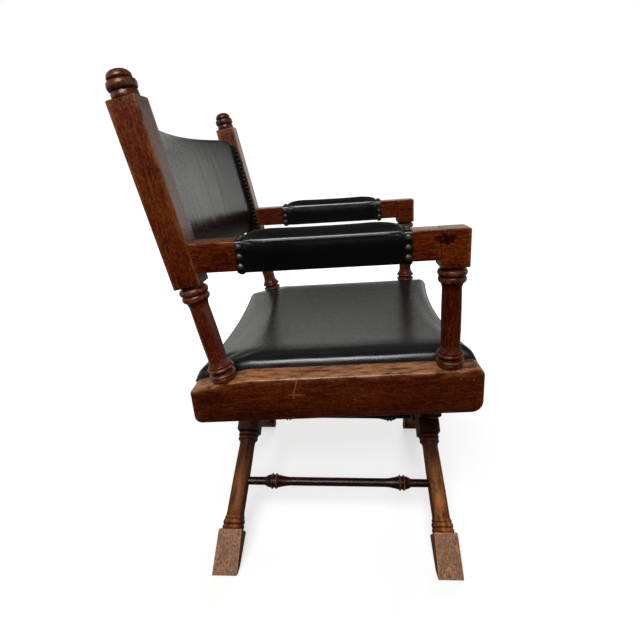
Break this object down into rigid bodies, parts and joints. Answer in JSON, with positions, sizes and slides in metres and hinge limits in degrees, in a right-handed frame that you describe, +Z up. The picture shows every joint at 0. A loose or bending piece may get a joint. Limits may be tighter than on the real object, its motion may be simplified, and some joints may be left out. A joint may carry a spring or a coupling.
{
  "type": "folding armchair",
  "caption": "Folding armchair with turned wooden side frames, crossed scissor legs, stretchers, a leather sling seat and back, and padded arms.",
  "frame": {"origin": "on the floor below the middle of the open chair's bounding box", "axes": "+Z up, the chair faces -Y, +X to the sitter's left"},
  "size_m": [0.5778, 0.5597, 0.891],
  "materials": {
    "mahogany": "satin varnish, worn",
    "black_leather": "smooth, glossy",
    "nail_brass": "aged, dark",
    "dark_steel": "dark, dull"
  },
  "bodies": {
    "right_frame": {"right_side_rail": "mahogany", "right_front_post": "mahogany", "right_rear_post": "mahogany", "right_finial": "mahogany", "right_arm": "mahogany", "right_front_arm_dowel": "mahogany", "right_rear_arm_dowel": "mahogany", "right_arm_pad": "black_leather", "right_arm_front_nails": "nail_brass", "right_arm_rear_nails": "nail_brass", "right_back_nails": "nail_brass", "right_hinge_cleat": "mahogany", "right_front_cleat_screw": "dark_steel", "right_rear_cleat_screw": "dark_steel", "right_front_hinge_bolt": "dark_steel", "right_rear_hinge_bolt": "dark_steel", "right_seat_batten": "mahogany", "seat": "black_leather", "back": "black_leather"},
    "left_foot_legs": {"front_left_leg": "mahogany", "rear_left_leg": "mahogany", "left_stretcher": "mahogany", "front_crossing_bolt": "dark_steel", "rear_crossing_bolt": "dark_steel", "front_crossing_nut": "dark_steel", "rear_crossing_nut": "dark_steel"},
    "right_foot_legs": {"front_right_leg": "mahogany", "rear_right_leg": "mahogany", "right_stretcher": "mahogany"},
    "left_frame": {"left_side_rail": "mahogany", "left_front_post": "mahogany", "left_rear_post": "mahogany", "left_finial": "mahogany", "left_arm": "mahogany", "left_front_arm_dowel": "mahogany", "left_rear_arm_dowel": "mahogany", "left_arm_pad": "black_leather", "left_arm_front_nails": "nail_brass", "left_arm_rear_nails": "nail_brass", "left_back_nails": "nail_brass", "left_hinge_cleat": "mahogany", "left_front_cleat_screw": "dark_steel", "left_rear_cleat_screw": "dark_steel", "left_front_hinge_bolt": "dark_steel", "left_rear_hinge_bolt": "dark_steel", "left_seat_batten": "mahogany"}
  },
  "joints": [
    {"name": "fold", "type": "hinge", "parent": "right_frame", "child": "left_foot_legs", "pos_m": [-0.2165, 0, 0.3884], "axis": [0, 1, 0], "range_deg": [0, 27], "deforming": ["seat", "back"]},
    {"name": "leg_crossing", "type": "hinge", "parent": "left_foot_legs", "child": "right_foot_legs", "pos_m": [0, 0, 0.21925], "axis": [0, 1, 0], "range_deg": [-54, 0]},
    {"name": "left_rail_hinge", "type": "hinge", "parent": "right_foot_legs", "child": "left_frame", "pos_m": [0.2165, 0, 0.3884], "axis": [0, 1, 0], "range_deg": [0, 27]}
  ],
  "couplings": [
    {"joint": "leg_crossing", "follows": "fold", "ratio": -2},
    {"joint": "left_rail_hinge", "follows": "fold", "ratio": 1}
  ]
}
